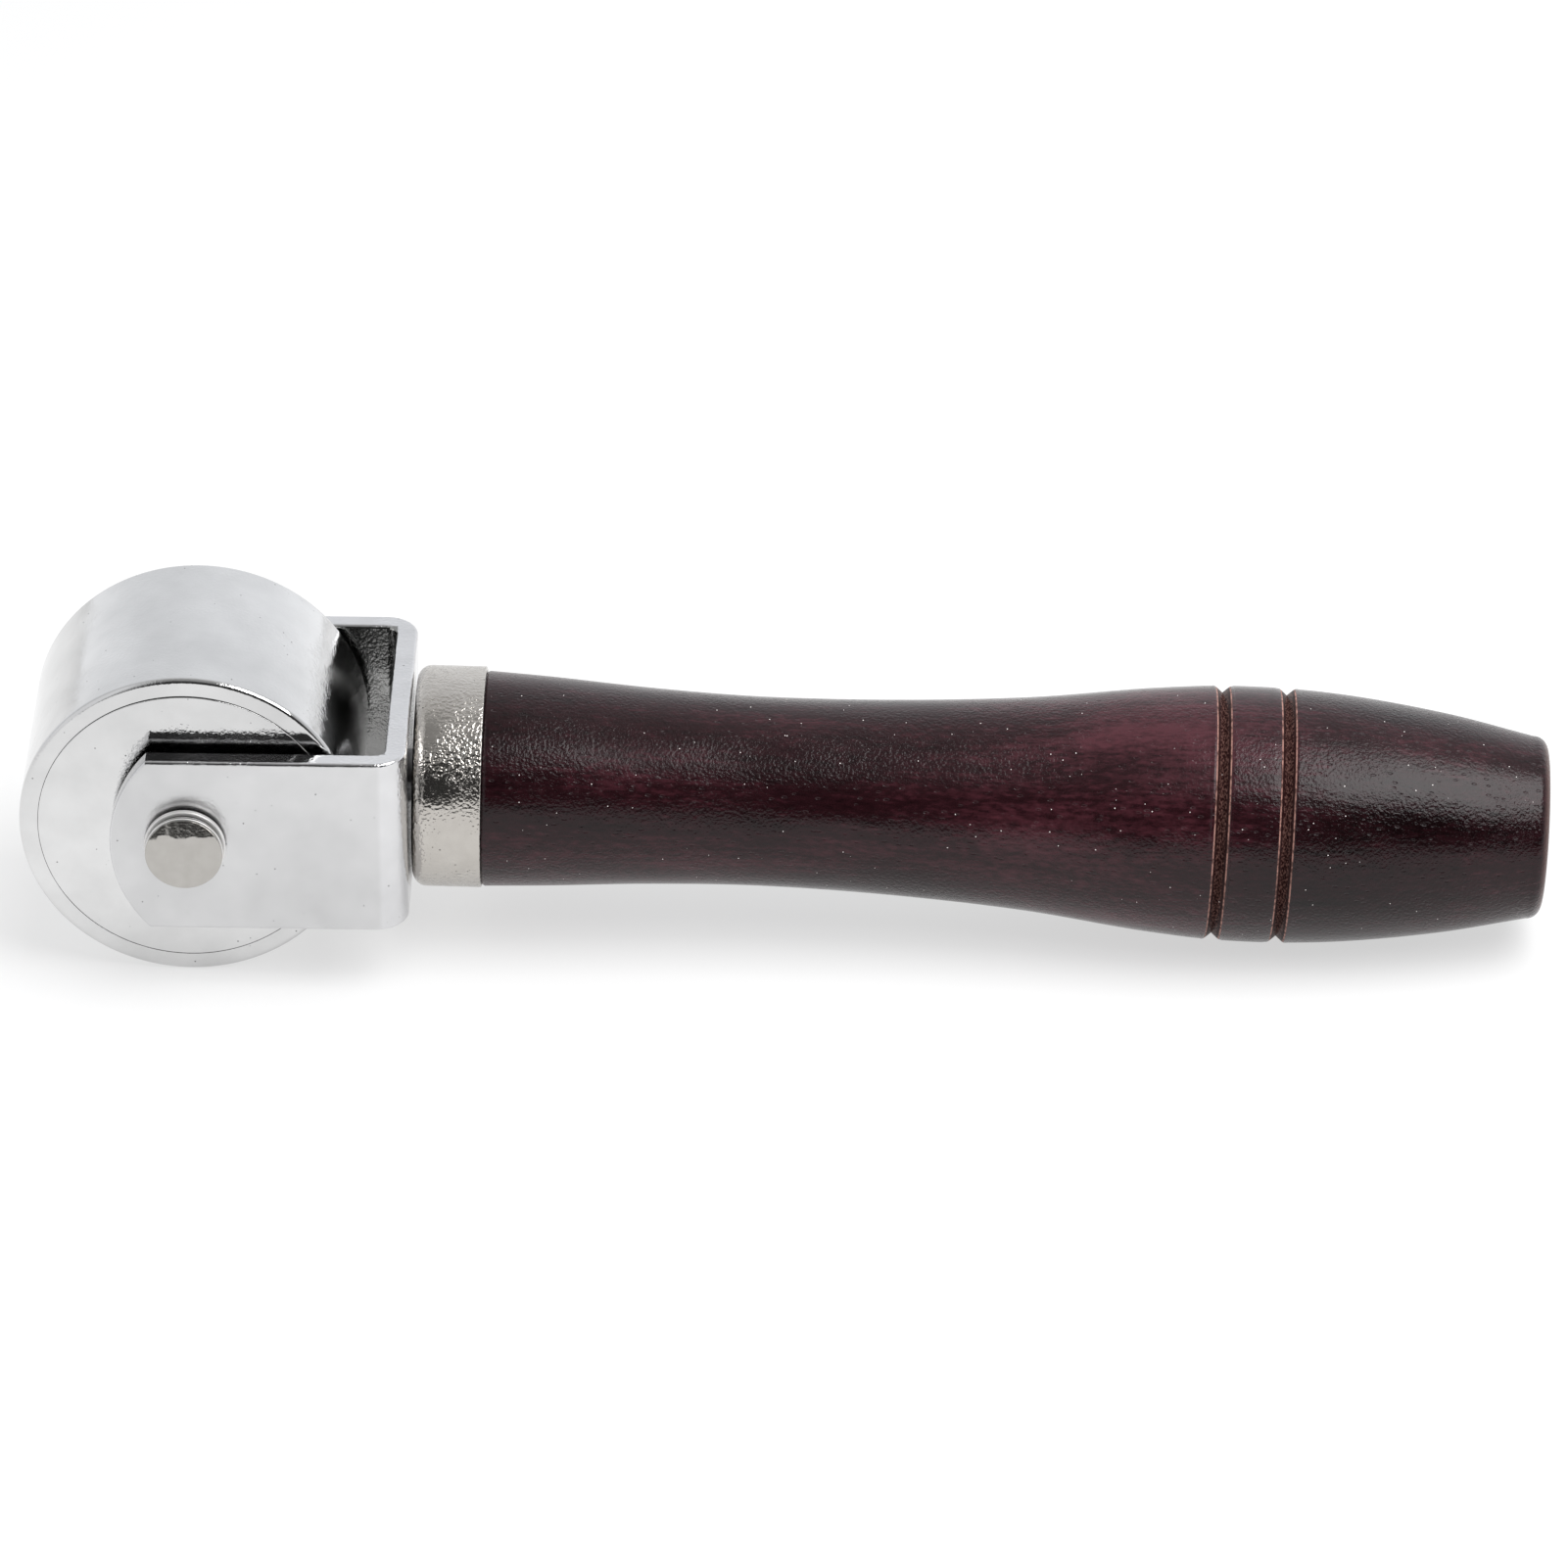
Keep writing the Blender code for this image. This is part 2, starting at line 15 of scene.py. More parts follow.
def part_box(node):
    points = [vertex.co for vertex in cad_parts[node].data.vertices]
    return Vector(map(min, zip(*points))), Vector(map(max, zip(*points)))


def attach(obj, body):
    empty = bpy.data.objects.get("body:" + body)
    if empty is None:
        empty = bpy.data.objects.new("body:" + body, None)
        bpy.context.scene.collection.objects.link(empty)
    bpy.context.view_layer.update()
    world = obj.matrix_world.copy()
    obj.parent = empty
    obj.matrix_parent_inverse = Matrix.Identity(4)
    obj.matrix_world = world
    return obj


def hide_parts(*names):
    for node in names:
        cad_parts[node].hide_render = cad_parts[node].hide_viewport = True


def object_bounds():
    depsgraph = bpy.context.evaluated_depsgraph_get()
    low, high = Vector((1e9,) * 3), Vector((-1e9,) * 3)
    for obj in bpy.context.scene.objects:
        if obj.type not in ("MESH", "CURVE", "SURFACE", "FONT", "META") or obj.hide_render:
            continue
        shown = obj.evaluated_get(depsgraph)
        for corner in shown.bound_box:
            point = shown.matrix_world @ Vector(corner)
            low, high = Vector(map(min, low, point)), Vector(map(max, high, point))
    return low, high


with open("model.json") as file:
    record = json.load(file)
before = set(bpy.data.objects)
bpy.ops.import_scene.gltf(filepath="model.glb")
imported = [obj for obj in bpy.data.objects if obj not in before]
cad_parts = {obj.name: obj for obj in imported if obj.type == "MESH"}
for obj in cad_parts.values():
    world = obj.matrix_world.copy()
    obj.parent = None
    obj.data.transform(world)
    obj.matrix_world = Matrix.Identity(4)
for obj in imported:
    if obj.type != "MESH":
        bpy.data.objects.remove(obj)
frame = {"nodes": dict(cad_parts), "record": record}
CAD_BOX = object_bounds()

MM = 0.001
WELD = 0.000001

# Camera, which looks at a point beside the roller's centre
CAMERA_DISTANCE = 1.1
CAMERA_ELEVATION = math.radians(30.87)
CAMERA_YAW = math.radians(0.903)
CAMERA_ROLL = math.radians(0.354)
CAMERA_LENS = 234.6
CAMERA_SENSOR = 36.0
CAMERA_CLIP = (0.01, 100)
AIM_RIGHT = 63.36 * MM
AIM_DOWN = 1.95 * MM

# Places read from the frame
TUBE_LOW, TUBE_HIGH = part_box("roller_tube")
ROLLER_CENTRE = (TUBE_LOW + TUBE_HIGH) / 2
ROLLER_RADIUS = (TUBE_HIGH.z - TUBE_LOW.z) / 2
HALF_WIDTH = (TUBE_HIGH.y - TUBE_LOW.y) / 2
CAP_LOW, CAP_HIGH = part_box("roller_cap_front")
CAP_THICKNESS = CAP_HIGH.y - CAP_LOW.y
FORK_LOW, FORK_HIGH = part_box("fork")
FORK_HALF_WIDTH = FORK_HIGH.y
STRIP_HALF_HEIGHT = (FORK_HIGH.z - FORK_LOW.z) / 2
FORK_MIDDLE_HEIGHT = (FORK_HIGH.z + FORK_LOW.z) / 2
PIN_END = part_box("axle_pin")[1].y
BUTT = Vector(frame["record"]["mounts"][0]["pos_m"])
HANDLE_DIRECTION = Vector(frame["record"]["mounts"][0]["axis"])
HANDLE_LENGTH = (BUTT.x - FORK_HIGH.x) / HANDLE_DIRECTION.x
ROLLER_AXIS = Matrix.Translation(ROLLER_CENTRE) @ Matrix.Rotation(-math.pi / 2, 4, "X")
HANDLE_TILT = math.pi / 2 - math.asin(HANDLE_DIRECTION.z)
HANDLE_START = BUTT - HANDLE_LENGTH * HANDLE_DIRECTION
HANDLE_AXIS = Matrix.Translation(HANDLE_START) @ Matrix.Rotation(HANDLE_TILT, 4, "Y")
FERRULE_DROOP = math.radians(0.9)
FERRULE_AXIS = Matrix.Translation(HANDLE_START) @ Matrix.Rotation(math.pi / 2 + FERRULE_DROOP, 4, "Y")

# Roller
TUBE_WALL = 2.0 * MM
TUBE_ROUNDING = 0.6 * MM
TUBE_LIP = 0.03 * MM
CAP_GAP = 0.01 * MM
CAP_LIP = 0.1 * MM
SEAM_OPENING = 0.12 * MM
SEAM_FADE = 5
POCKET_MARGIN = 1.0 * MM
CAP_POCKET_RADIUS = 8.05 * MM
CAP_POCKET_DEPTH = 5.2 * MM
CAP_BORE_RADIUS = 7.0 * MM

# Fork
STRIP_THICKNESS = 2.3 * MM
FORK_BEND_RADIUS = 1.2 * MM
FORK_TIP_RADIUS = 15.1 * MM
FORK_EDGE_ROUNDING = 0.4 * MM
FORK_EDGE_ANGLE = math.radians(50)
EDGE_BORDER = 0.12 * MM
EDGE_BLEND = 0.1 * MM
PIN_HOLE_RADIUS = 4.05 * MM
SCREW_HOLE_RADIUS = 3.1 * MM
COUNTERSINK_RADIUS = 5.17 * MM

# Axle pin
PIN_RADIUS = 4.0 * MM
PIN_NECK_RADIUS = 3.4 * MM
PIN_RINGS = [
    (4.12 * MM, 2.44 * MM, 2.65 * MM),
    (4.16 * MM, 1.86 * MM, 2.18 * MM),
    (4.04 * MM, 1.44 * MM, 1.49 * MM),
    (4.35 * MM, 0.5 * MM, 1.12 * MM),
]
PIN_ROUNDING = 0.1 * MM
END_FACE_DEPTH = 0.3 * MM
PIN_BLEND = 0.04 * MM
PEEN_START = 2.05 * MM
PEEN_SLOPE = math.tan(math.radians(6))
PEEN_DEPTH = 0.7 * MM
PEEN_RAGGEDNESS = 0.3 * MM
PEEN_RAGGED_SCALE = 1600
PEEN_BLEND = 0.06 * MM
NOTCH_PLACE = 1.95 * MM
NOTCH_WIDTH = 0.4 * MM
NOTCH_DEPTH = 0.9 * MM
DENT_WIDTH = 0.34 * MM
DENT_DEPTH = 0.09 * MM
# Where the painted shade in the gaps between the pin's rings begins and where it is full
GAP_SHADE_START = 4.02 * MM
GAP_SHADE_FULL = 3.9 * MM

# Handle group, along the handle's axis from the back of the fork
FERRULE_START = 0.24 * MM
FERRULE_END = 7.65 * MM
FERRULE_RADIUS = 11.9 * MM
FERRULE_WALL = 0.5 * MM
FERRULE_CORNER = 1.5 * MM
SHOULDER = 7.73 * MM
SHOULDER_EDGE = 0.15 * MM
LEAN_END = 12.0 * MM
TENON_RADIUS = 11.2 * MM
TENON_START = 1.1 * MM
TENON_CHAMFER = 1.5 * MM
BORE_DEPTH = 48.3 * MM
BUTT_ROUNDING = 1.5 * MM
CORE_RADIUS = 8.0 * MM
UNEVENNESS = 0.012 * MM
UNEVEN_SCALE = (160, 160, 70)
CURVE_SPACING = 0.4 * MM
HANDLE_SHAPE = [
    (8.0 * MM, 11.6 * MM),
    (15.0 * MM, 11.25 * MM),
    (26.0 * MM, 10.55 * MM),
    (38.0 * MM, 10.2 * MM),
    (52.0 * MM, 10.55 * MM),
    (66.0 * MM, 11.5 * MM),
    (79.0 * MM, 13.1 * MM),
    (88.5 * MM, 13.75 * MM),
    (99.0 * MM, 13.4 * MM),
    (110.5 * MM, 11.9 * MM),
    (120.3 * MM, 9.85 * MM),
]
GROOVES = [86.55 * MM, 93.5 * MM]
GROOVE_HALF_WIDTH = 0.85 * MM
GROOVE_DEPTH = 0.75 * MM
GROOVE_LIP = 0.12 * MM
GROOVE_SOFTNESS = 0.02

# Facets round a full turn, and segments in a rounded edge
ROLLER_STEPS = 256
PIN_STEPS = 144
PIN_HOLE_STEPS = 96
SCREW_HOLE_STEPS = 64
HANDLE_STEPS = 256
EDGE_SEGMENTS = 6
TUBE_EDGE_SEGMENTS = 12
FORK_EDGE_SEGMENTS = 5
FORK_BEND_SEGMENTS = 24
FORK_TIP_SEGMENTS = 64
PIN_EDGE_SEGMENTS = 4
PIN_FACE_RINGS = 40
FERRULE_OUTER_SEGMENTS = 16
FERRULE_INNER_SEGMENTS = 8
BUTT_SEGMENTS = 14
GROOVE_SEGMENTS = 20
SHARP_ANGLE = math.radians(40)

# Colours of the metals, with the roughness and grit of the chromes
PIT = (0.12, 0.12, 0.12)
OUTER_CHROME, OUTER_ROUGHNESS, OUTER_GRIT = (0.635, 0.635, 0.64), 0.24, 1.0
CUT_CHROME, CUT_ROUGHNESS, CUT_GRIT = (0.68, 0.68, 0.69), 0.08, 4.5
# The fork's inside chrome is painted darker for the shade inside its U
INNER_SHADED_CHROME, INNER_ROUGHNESS, INNER_GRIT = (0.32, 0.32, 0.315), 0.12, 5.5
ROLLER_TONE, ROLLER_ROUGHNESS, ROLLER_GRIT = (0.67, 0.69), (0.055, 0.07), 1.8
TURNING_MARKS = (30, 30, 5200)
TURNING_MARKS_DEPTH = 0.0005 * MM
PIN_NICKEL = (0.48, 0.465, 0.44)
RING_NICKEL = (0.82, 0.81, 0.8)
# Painted dark reflection on the hammered patch, which tilts up toward the studio's dark side
DARK_REFLECTION_NICKEL = (0.36, 0.35, 0.33)
NICKEL_TARNISH = (0.3, 0.28, 0.26)
# Painted shade for the gaps between the pin's rings
GAP_SHADE_GREY = (0.05, 0.048, 0.045)
FERRULE_NICKEL = [(0.45, 0.425, 0.395), (0.59, 0.565, 0.53)]
FERRULE_SPECK = (0.06, 0.055, 0.05)
BEARING_STEEL = (0.62, 0.63, 0.64)
PLAIN_STEEL = (0.56, 0.56, 0.57)

# Colours of the wood, from its darkest grain to its lightest
STAIN = [(0.34, (0.004, 0.001, 0.0014)), (0.5, (0.016, 0.0036, 0.0054)), (0.66, (0.06, 0.0155, 0.022))]
BARE_WOOD = (0.016, 0.005, 0.005)
SCRAPED_WOOD = (0.4, 0.215, 0.18)
# Pale dots: partly dust, and partly painted glints where the lacquer's pores catch the light
DUST_AND_GLINTS = (0.9, 0.85, 0.83)

# Stage
FLOOR_SIZE = 30
FLOOR_GAP = 0.02 * MM
FLOOR_COLOR = (0.32, 0.32, 0.32, 1.0)
FLOOR_GLOW = 0.6
SKY = [
    (0.0, 0.03),
    (0.2, 0.04),
    (0.33, 0.3),
    (0.5, 0.38),
    (0.6, 0.64),
    (0.75, (0.84, 0.855, 0.88)),
    (0.88, (0.93, 0.945, 0.97)),
    (1.0, (1.07, 1.08, 1.1)),
]
SIDE_GLOW = (0.9, 0.905, 0.92)
SOFTBOXES = [
    ("key", (0.5, -0.28, 0.82), 0.6, (0.4, 0.5), 4.7, True),
    ("fill", (0.2, -0.1, 0.97), 0.7, (0.5, 0.5), 3.3, False),
]


# ---------------------------------------------------------------- shapes


def arc(centre, radius, start, end, segments=EDGE_SEGMENTS):
    """Points on an arc round a (radius, height) centre, its angles in degrees from the +radius direction."""
    angles = [math.radians(start + (end - start) * i / segments) for i in range(segments + 1)]
    return [(centre[0] + radius * math.cos(a), centre[1] + radius * math.sin(a)) for a in angles]


def braced(outline, closed, gap=0.05 * MM, reach=0.25 * MM):
    """The outline with no point twice in a row, and one near each end of a long straight to keep it flat."""
    points = []
    ends = outline[1:] + (outline[:1] if closed else [])
    for start, end in zip(outline, ends):
        step = Vector(end) - Vector(start)
        if step.length < WELD:
            continue
        points.append(start)
        if step.length > reach:
            points.append(tuple(Vector(start) + step.normalized() * gap))
            points.append(tuple(Vector(end) - step.normalized() * gap))
    return points if closed else points + [outline[-1]]


def mirrored(outline):
    """The same outline on the other side of the middle plane."""
    return [(radius, -height) for radius, height in reversed(outline)]


def smooth_curve(points, spacing):
    """Points about spacing apart on a Catmull-Rom curve through the given ones."""
    knots = [Vector(point) for point in points]
    knots = [2 * knots[0] - knots[1]] + knots + [2 * knots[-1] - knots[-2]]
    curve = []
    for before, start, end, after in zip(knots, knots[1:], knots[2:], knots[3:]):
        count = max(1, round((end - start).length / spacing))
        for step in range(count):
            t = step / count
            bend = 2 * before - 5 * start + 4 * end - after
            twist = 3 * start - before - 3 * end + after
            curve.append(start + 0.5 * (t * (end - before) + t * t * bend + t**3 * twist))
    curve.append(knots[-2])
    return [tuple(point) for point in curve]


def new_piece(name, mesh, material, body, slot, *nodes):
    """A mesh as a piece that rides on a body and stands for the CAD nodes named."""
    piece = bpy.data.objects.new(name, mesh)
    bpy.context.scene.collection.objects.link(piece)
    mesh.materials.append(material)
    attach(piece, body)
    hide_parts(*nodes)
    return piece


def finished(name, shape):
    """A mesh from a bmesh, smooth but for its sharp edges."""
    bmesh.ops.recalc_face_normals(shape, faces=shape.faces)
    mesh = bpy.data.meshes.new(name)
    shape.to_mesh(mesh)
    shape.free()
    mesh.shade_smooth()
    mesh.set_sharp_from_angle(angle=SHARP_ANGLE)
    return mesh


def turned(name, outline, steps, place, closed=True, warp=None):
    """A mesh turned about its own Z from (radius, height) points: a ring if closed, or else axis to axis."""
    shape = bmesh.new()
    turns = [2 * math.pi * i / steps for i in range(steps)]
    rings = []
    for radius, height in outline:
        spots = [(0, 0)] if radius < WELD else [(radius * math.cos(a), radius * math.sin(a)) for a in turns]
        rings.append([shape.verts.new((x, y, height)) for x, y in spots])
    for near, far in zip(rings, rings[1:] + (rings[:1] if closed else [])):
        for i in range(steps):
            j = (i + 1) % steps
            corners = [near[i % len(near)], near[j % len(near)], far[j % len(far)], far[i % len(far)]]
            shape.faces.new(dict.fromkeys(corners))
    if warp:
        for vertex in shape.verts:
            vertex.co = warp(vertex.co)
    bmesh.ops.transform(shape, matrix=place, verts=shape.verts)
    return finished(name, shape)


def prism(name, outline, low, high, upright):
    """A solid of a flat outline: in the XY plane between two heights if upright, else in XZ between two Y."""
    shape = bmesh.new()
    places = [(a, b, low) if upright else (a, low, b) for a, b in outline]
    face = shape.faces.new([shape.verts.new(place) for place in places])
    grown = bmesh.ops.extrude_face_region(shape, geom=[face])
    moved = [item for item in grown["geom"] if isinstance(item, bmesh.types.BMVert)]
    step = (0, 0, high - low) if upright else (0, high - low, 0)
    bmesh.ops.translate(shape, vec=step, verts=moved)
    item = bpy.data.objects.new(name, finished(name, shape))
    bpy.context.scene.collection.objects.link(item)
    return item


def drill(name, outline, steps, place):
    """A cutter turned about its own Z from (radius, height) points, and flat at both ends."""
    outline = [(0, outline[0][1]), *outline, (0, outline[-1][1])]
    item = bpy.data.objects.new(name, turned(name, outline, steps, place, closed=False))
    bpy.context.scene.collection.objects.link(item)
    return item


def cut(item, cutter, operation="DIFFERENCE"):
    """An exact boolean of the item with a cutter."""
    boolean = item.modifiers.new(cutter.name, "BOOLEAN")
    boolean.operation = operation
    boolean.solver = "EXACT"
    boolean.object = cutter


def sorted_mesh(name, mesh):
    """The same mesh with its vertices and faces in order of place, as a boolean's own order can change."""
    spots = [tuple(vertex.co) for vertex in mesh.vertices]
    order = sorted(range(len(spots)), key=spots.__getitem__)
    rank = {old: new for new, old in enumerate(order)}
    faces = []
    for face in mesh.polygons:
        corners = [rank[index] for index in face.vertices]
        first = corners.index(min(corners))
        faces.append(corners[first:] + corners[:first])
    made = bpy.data.meshes.new(name)
    made.from_pydata([spots[index] for index in order], [], sorted(faces))
    return made


def baked(item, *cutters):
    """The item's mesh with its modifiers in it. The item and its cutters are removed."""
    bpy.context.view_layer.update()
    evaluated = item.evaluated_get(bpy.context.evaluated_depsgraph_get())
    mesh = sorted_mesh(item.name, evaluated.to_mesh())
    evaluated.to_mesh_clear()
    for used in (item, *cutters):
        bpy.data.objects.remove(used)
    mesh.shade_smooth()
    mesh.set_sharp_from_angle(angle=SHARP_ANGLE)
    return mesh


# ---------------------------------------------------------------- node helpers


def fill(tree, node, inputs):
    """Gives each of the node's inputs a value or a link."""
    for socket, value in dict(inputs).items():
        if isinstance(value, bpy.types.NodeSocket):
            tree.links.new(value, node.inputs[socket])
        else:
            node.inputs[socket].default_value = value


def add(tree, kind, inputs=(), **settings):
    """A new node with its inputs filled and its settings given by name."""
    made = tree.nodes.new(kind)
    for key, value in settings.items():
        setattr(made, key, value)
    fill(tree, made, inputs)
    return made


def opaque(color):
    """A linked colour as it is, and a plain one with its alpha."""
    return color if isinstance(color, bpy.types.NodeSocket) else (*color, 1.0)


def ramp(tree, factor, stops):
    """A colour ramp from (position, colour or grey) stops."""
    made = add(tree, "ShaderNodeValToRGB", {"Fac": factor})
    elements = made.color_ramp.elements
    while len(elements) < len(stops):
        elements.new(0.5)
    for element, (position, color) in zip(elements, stops):
        element.position = position
        element.color = (*color, 1.0) if isinstance(color, tuple) else (color, color, color, 1.0)
    return made.outputs["Color"]


def math_node(tree, operation, *values):
    return add(tree, "ShaderNodeMath", enumerate(values), operation=operation).outputs[0]


def times(tree, first, second):
    """The product of two colours or vectors, channel by channel."""
    return add(tree, "ShaderNodeVectorMath", {0: first, 1: second}, operation="MULTIPLY").outputs[0]


def mapped(tree, value, low, high, to_low=0.0, to_high=1.0):
    """The value's place from low to high, clamped and mapped to the range given."""
    inputs = {"Value": value, "From Min": low, "From Max": high, "To Min": to_low, "To Max": to_high}
    return add(tree, "ShaderNodeMapRange", inputs).outputs["Result"]


def mixed(tree, factor, first, second):
    """The first colour where the factor is 0, and the second where it is 1."""
    inputs = {"Factor": factor, 6: opaque(first), 7: opaque(second)}
    return add(tree, "ShaderNodeMix", inputs, data_type="RGBA").outputs[2]


def placed(tree, place, scale=(1, 1, 1)):
    """Positions in a place's own axes, which move with the piece, then scaled."""
    position = add(tree, "ShaderNodeTexCoord").outputs["Object"]
    inputs = {
        "Vector": position,
        "Location": place.to_translation(),
        "Rotation": place.to_euler(),
    }
    local = add(tree, "ShaderNodeMapping", inputs, vector_type="TEXTURE").outputs["Vector"]
    if scale == (1, 1, 1):
        return local
    return add(tree, "ShaderNodeMapping", {"Vector": local, "Scale": scale}).outputs["Vector"]


def noise_of(tree, vector, scale, detail=2.0, roughness=0.5):
    inputs = {"Vector": vector, "Scale": scale, "Detail": detail, "Roughness": roughness}
    return add(tree, "ShaderNodeTexNoise", inputs).outputs["Fac"]


def separated(tree, vector):
    """The vector's X, Y and Z by name."""
    return add(tree, "ShaderNodeSeparateXYZ", {0: vector}).outputs


def bumped(tree, *layers):
    """A normal from (height, distance) layers, each over the last."""
    normal = None
    for height, distance in layers:
        inputs = {"Height": height, "Distance": distance, "Strength": 1.0}
        if normal:
            inputs["Normal"] = normal
        normal = add(tree, "ShaderNodeBump", inputs).outputs["Normal"]
    return normal


def dots(tree, vector, scale, size):
    """1 inside small round dots, one in each cell of the given scale, and 0 outside."""
    inputs = {"Vector": vector, "Scale": scale, "Randomness": 1.0}
    distance = add(tree, "ShaderNodeTexVoronoi", inputs).outputs["Distance"]
    return mapped(tree, distance, size, size * 0.6)


def sparse_dots(tree, vector, scale, size, cluster_scale, detail, low, high):
    """Dots only where a coarser noise rises from low to high."""
    clusters = mapped(tree, noise_of(tree, vector, cluster_scale, detail), low, high)
    return math_node(tree, "MULTIPLY", dots(tree, vector, scale, size), clusters)


def new_material(name):
    material = bpy.data.materials.new(name)
    material.use_nodes = True
    tree = material.node_tree
    return material, tree, tree.nodes["Principled BSDF"]


# ---------------------------------------------------------------- materials


def chrome(name, place, zones, marks=None):
    """Bright chrome plate: slightly uneven, with a fine grit, tiny pits and, if asked, marks from turning."""
    material, tree, shader = new_material(name)
    local = placed(tree, place)
    color, roughness, grit = zones(tree)
    mottle = noise_of(tree, local, 260, 3)
    pits = sparse_dots(tree, local, 700, 0.07, 160, 2, 0.46, 0.52)
    cloud = mixed(tree, mottle, (0.89, 0.89, 0.89), (1.09, 1.09, 1.09))
    haze = mixed(tree, noise_of(tree, local, 55, 3), (0.8, 0.8, 0.8), (1.18, 1.18, 1.18))
    clean = times(tree, times(tree, color, cloud), haze)
    amount = mapped(tree, noise_of(tree, local, 170, 2), 0.4, 0.62, 0.5, 2.2)
    amount = math_node(tree, "MULTIPLY", amount, grit)
    fine = math_node(tree, "MULTIPLY", noise_of(tree, local, 3000, 2), amount)
    layers = [(noise_of(tree, local, 220, 1), 0.0016 * MM), (fine, 0.01 * MM)]
    if marks:
        layers.append((noise_of(tree, placed(tree, place, marks), 1, 2), TURNING_MARKS_DEPTH))
    inputs = {
        "Base Color": mixed(tree, pits, clean, PIT),
        "Metallic": 1.0,
        "Roughness": math_node(tree, "ADD", roughness, mapped(tree, mottle, 0.3, 0.7, -0.02, 0.03)),
        "Normal": bumped(tree, *layers, (pits, -0.01 * MM)),
    }
    fill(tree, shader, inputs)
    return material


def roller_zones(tree):
    """Colour, roughness and grit of the roller's chrome, the same all over but for a slow change."""
    slow = noise_of(tree, placed(tree, ROLLER_AXIS), 60, 1)
    roughness = mapped(tree, slow, 0.3, 0.7, *ROLLER_ROUGHNESS)
    return mapped(tree, roughness, *ROLLER_ROUGHNESS, *ROLLER_TONE), roughness, ROLLER_GRIT


def fork_zones(tree):
    """The strip's outer faces are buffed, its cut edges bright and gritty, and its inside painted grey for
    the shade inside the U.
    """
    axes = separated(tree, placed(tree, Matrix.Translation(ROLLER_CENTRE)))
    across = math_node(tree, "ABSOLUTE", axes["Y"])
    outer_y = FORK_HALF_WIDTH - EDGE_BORDER
    inner_y = FORK_HALF_WIDTH - STRIP_THICKNESS + EDGE_BORDER
    inner_x = FORK_HIGH.x - STRIP_THICKNESS - ROLLER_CENTRE.x + EDGE_BORDER
    outside = mapped(tree, across, outer_y, outer_y + EDGE_BLEND)
    within_y = mapped(tree, across, inner_y, inner_y - EDGE_BLEND)
    within_x = mapped(tree, axes["X"], inner_x, inner_x - EDGE_BLEND)
    inside = math_node(tree, "MULTIPLY", within_y, within_x)
    # The inside gets painted shade
    color = mixed(tree, inside, mixed(tree, outside, CUT_CHROME, OUTER_CHROME), INNER_SHADED_CHROME)
    buffed = mapped(tree, outside, 0, 1, CUT_ROUGHNESS, OUTER_ROUGHNESS)
    duller = mapped(tree, inside, 0, 1, 0, INNER_ROUGHNESS - CUT_ROUGHNESS)
    gritty = mapped(tree, outside, 0, 1, CUT_GRIT, OUTER_GRIT)
    coarser = mapped(tree, inside, 0, 1, 0, INNER_GRIT - CUT_GRIT)
    return color, math_node(tree, "ADD", buffed, duller), math_node(tree, "ADD", gritty, coarser)


def peened_nickel():
    """Warm nickel, bright on the rings, with painted shade between them, and dented where the end was
    hammered back; the hammered patch is painted darker, a painted reflection of the dark side it tilts
    toward.
    """
    material, tree, shader = new_material("pin_nickel")
    local = placed(tree, ROLLER_AXIS)
    axes = separated(tree, local)
    reach = math_node(tree, "ABSOLUTE", axes["Z"])
    ring_start = PIN_END - END_FACE_DEPTH
    ring = mapped(tree, reach, ring_start + PIN_BLEND, ring_start - PIN_BLEND)
    hammered = hammered_patch(tree, local, axes["Y"], ring)
    dents = math_node(tree, "MULTIPLY", hammer_dents(tree, local), hammered)
    chatter = math_node(tree, "MULTIPLY", noise_of(tree, local, 2600, 2), hammered)
    # The hammered patch is painted darker, a painted dark reflection
    worn = mixed(tree, hammered, mixed(tree, ring, PIN_NICKEL, RING_NICKEL), DARK_REFLECTION_NICKEL)
    # Painted shade darkens the gaps between the rings
    worn = mixed(tree, ring_gap_shade(tree, local, ring), worn, GAP_SHADE_GREY)
    tarnish = mapped(tree, noise_of(tree, local, 700, 3), 0.35, 0.65, 0, 0.16)
    uneven = noise_of(tree, local, 900, 2)
    inputs = {
        "Base Color": mixed(tree, tarnish, worn, NICKEL_TARNISH),
        "Metallic": mapped(tree, ring, 0, 1, 1.0, 0.6),
        "Roughness": mapped(tree, ring, 0, 1, 0.24, 0.4),
        "Normal": bumped(tree, (uneven, 0.005 * MM), (dents, DENT_DEPTH), (chatter, 0.04 * MM)),
    }
    fill(tree, shader, inputs)
    return material


def hammered_patch(tree, local, down, ring):
    """1 on the upper part of the pin's end face, above a ragged line."""
    ragged = mapped(tree, noise_of(tree, local, 650, 3), 0.25, 0.75, -0.5 * MM, 0.5 * MM)
    edge = math_node(tree, "ADD", down, ragged)
    above = mapped(tree, edge, PEEN_BLEND - PEEN_START, -PEEN_BLEND - PEEN_START)
    return math_node(tree, "MULTIPLY", above, math_node(tree, "SUBTRACT", 1.0, ring))


def hammer_dents(tree, local):
    """Overlapping steps across the end face, each a hammer's edge wide."""
    inputs = {
        "Vector": local,
        "Scale": math.pi / 10 / DENT_WIDTH,
        "Distortion": 2.5,
        "Detail": 2.0,
        "Detail Scale": 1.2,
    }
    settings = {"wave_type": "BANDS", "bands_direction": "Y", "wave_profile": "SAW"}
    return add(tree, "ShaderNodeTexWave", inputs, **settings).outputs["Fac"]


def ring_gap_shade(tree, local, ring):
    """1 in the gaps between the pin's rings, where shade is painted."""
    flat = times(tree, local, (1, 1, 0))
    radius = add(tree, "ShaderNodeVectorMath", {0: flat}, operation="LENGTH").outputs["Value"]
    return math_node(tree, "MULTIPLY", mapped(tree, radius, GAP_SHADE_START, GAP_SHADE_FULL), ring)


